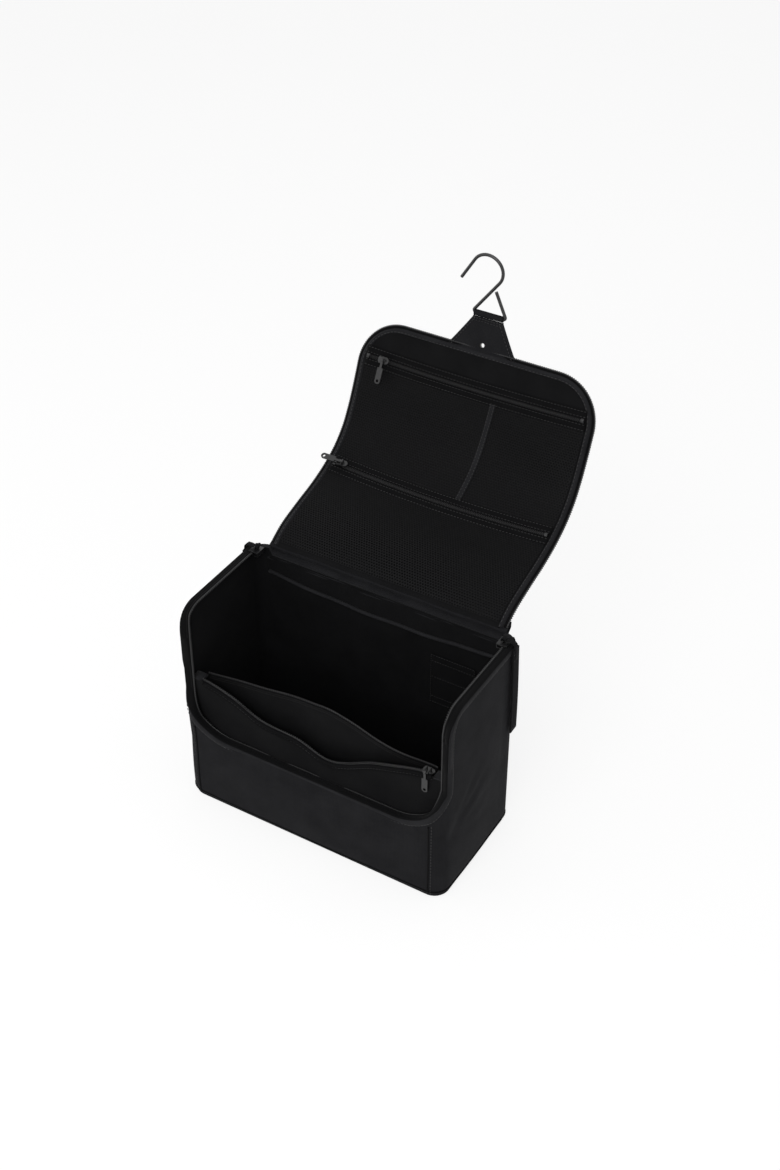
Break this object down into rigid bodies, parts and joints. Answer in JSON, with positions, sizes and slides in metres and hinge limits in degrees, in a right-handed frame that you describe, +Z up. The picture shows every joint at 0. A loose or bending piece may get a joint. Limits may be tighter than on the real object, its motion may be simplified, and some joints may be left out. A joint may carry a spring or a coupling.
{
  "type": "hanging toiletry bag",
  "caption": "Black fabric wash bag with padded walls, a zipped fold-back lid with mesh pockets, an inner zipped pocket, webbing zip pulls and a wire hook on a tab for hanging.",
  "frame": {"origin": "centre of the body's base, on the surface it stands on", "axes": "+Z up; +X along the bag's width, to the right seen from the front; +Y towards the back, where the lid is hinged"},
  "size_m": [0.2738, 0.3112, 0.4492],
  "materials": {
    "shell_cloth": "matt woven polyester",
    "lining_cloth": "smooth woven lining",
    "foam": "closed-cell foam",
    "board": "plain sheet",
    "zip_tape": "knitted tape",
    "zip_coil": "nylon coil",
    "mesh": "knitted mesh",
    "painted_zinc": "satin black",
    "webbing": "flat webbing",
    "hook_steel": "satin black coating"
  },
  "bodies": {
    "root": {"base_panel": "shell_cloth", "base_board": "board", "front_panel": "shell_cloth", "back_panel": "shell_cloth", "left_side_panel": "shell_cloth", "right_side_panel": "shell_cloth", "front_foam": "foam", "back_foam": "foam", "left_foam": "foam", "right_foam": "foam", "base_lining": "lining_cloth", "front_lining": "lining_cloth", "back_lining": "lining_cloth", "left_lining": "lining_cloth", "right_lining": "lining_cloth", "rim_tape": "zip_tape", "rim_coil": "zip_coil", "hinge_strip": "shell_cloth", "hinge_piping": "lining_cloth", "label_patch": "lining_cloth", "pocket_front_sheet": "lining_cloth", "pocket_back_sheet": "lining_cloth", "pocket_coils": "zip_coil", "pocket_end_tabs": "zip_tape"},
    "lid_top": {"lid_top_panel": "shell_cloth", "lid_top_foam": "foam", "lid_top_lining": "lining_cloth", "lid_top_binding": "shell_cloth", "lid_top_zip": "zip_coil", "lower_mesh": "mesh", "mid_zip_tape": "zip_tape", "mid_zip_coil": "zip_coil", "fold_strip": "shell_cloth"},
    "lid_front": {"lid_front_panel": "shell_cloth", "lid_front_foam": "foam", "lid_front_lining": "lining_cloth", "lid_front_binding": "shell_cloth", "lid_front_zip": "zip_coil", "upper_mesh_left": "mesh", "upper_mesh_right": "mesh", "mesh_divider": "zip_tape", "upper_zip_tape": "zip_tape", "upper_zip_coil": "zip_coil"},
    "tab": {"tab_outer_layer": "shell_cloth", "tab_inner_layer": "shell_cloth", "tab_sleeve": "shell_cloth", "eyelet": "painted_zinc"},
    "hook": {"wire_hook": "hook_steel"},
    "pocket_slide": {"pocket_slider": "painted_zinc"},
    "pocket_pull": {"pocket_puller": "painted_zinc"},
    "mid_slide": {"mid_slider": "painted_zinc"},
    "mid_pull": {"mid_puller": "painted_zinc"},
    "upper_slide": {"upper_slider": "painted_zinc"},
    "upper_pull": {"upper_puller": "painted_zinc"},
    "left_slide": {"left_slider": "painted_zinc"},
    "right_slide": {"right_slider": "painted_zinc"},
    "left_webbing": {"left_pull": "webbing"},
    "right_webbing": {"right_pull": "webbing"}
  },
  "joints": [
    {"name": "lid_hinge", "type": "hinge", "parent": "root", "child": "lid_top", "pos_m": [0, 0.062, 0.203], "axis": [1, 0, 0], "range_deg": [-50, 156]},
    {"name": "lid_fold", "type": "hinge", "parent": "lid_top", "child": "lid_front", "pos_m": [0, 0.17619, 0.25384], "axis": [1, 0, 0], "range_deg": [-38, 52]},
    {"name": "tab_hinge", "type": "hinge", "parent": "lid_front", "child": "tab", "pos_m": [0, 0.22957, 0.35423], "axis": [-1, 0, 0], "range_deg": [-40, 60]},
    {"name": "hook_swivel", "type": "hinge", "parent": "tab", "child": "hook", "pos_m": [0, 0.24319, 0.38971], "axis": [-1, 0, 0], "range_deg": [-90, 90]},
    {"name": "pocket_zip", "type": "slide", "parent": "root", "child": "pocket_slide", "axis": [1, 0, 0], "range_m": [-0.222, 0]},
    {"name": "pocket_puller_hinge", "type": "hinge", "parent": "pocket_slide", "child": "pocket_pull", "pos_m": [0.111, -0.0548, 0.136], "axis": [1, 0, 0], "range_deg": [-120, 0]},
    {"name": "mid_zip", "type": "slide", "parent": "lid_top", "child": "mid_slide", "axis": [1, 0, 0], "range_m": [0, 0.2]},
    {"name": "mid_puller_hinge", "type": "hinge", "parent": "mid_slide", "child": "mid_pull", "pos_m": [-0.1001, 0.154, 0.25206], "axis": [0, 0.9135, 0.4067], "range_deg": [0, 150]},
    {"name": "upper_zip", "type": "slide", "parent": "lid_front", "child": "upper_slide", "axis": [1, 0, 0], "range_m": [0, 0.18]},
    {"name": "upper_puller_hinge", "type": "hinge", "parent": "upper_slide", "child": "upper_pull", "pos_m": [-0.0901, 0.21027, 0.33369], "axis": [1, 0, 0], "range_deg": [-120, 0]},
    {"name": "left_main_zip", "type": "slide", "parent": "root", "child": "left_slide", "axis": [0, -1, 0], "range_m": [0, 0.078]},
    {"name": "right_main_zip", "type": "slide", "parent": "root", "child": "right_slide", "axis": [0, -1, 0], "range_m": [0, 0.078]},
    {"name": "left_webbing_hinge", "type": "hinge", "parent": "left_slide", "child": "left_webbing", "pos_m": [-0.126, 0.05, 0.2112], "axis": [0, 1, 0], "range_deg": [0, 140]},
    {"name": "right_webbing_hinge", "type": "hinge", "parent": "right_slide", "child": "right_webbing", "pos_m": [0.126, 0.05, 0.2112], "axis": [0, -1, 0], "range_deg": [0, 140]}
  ]
}
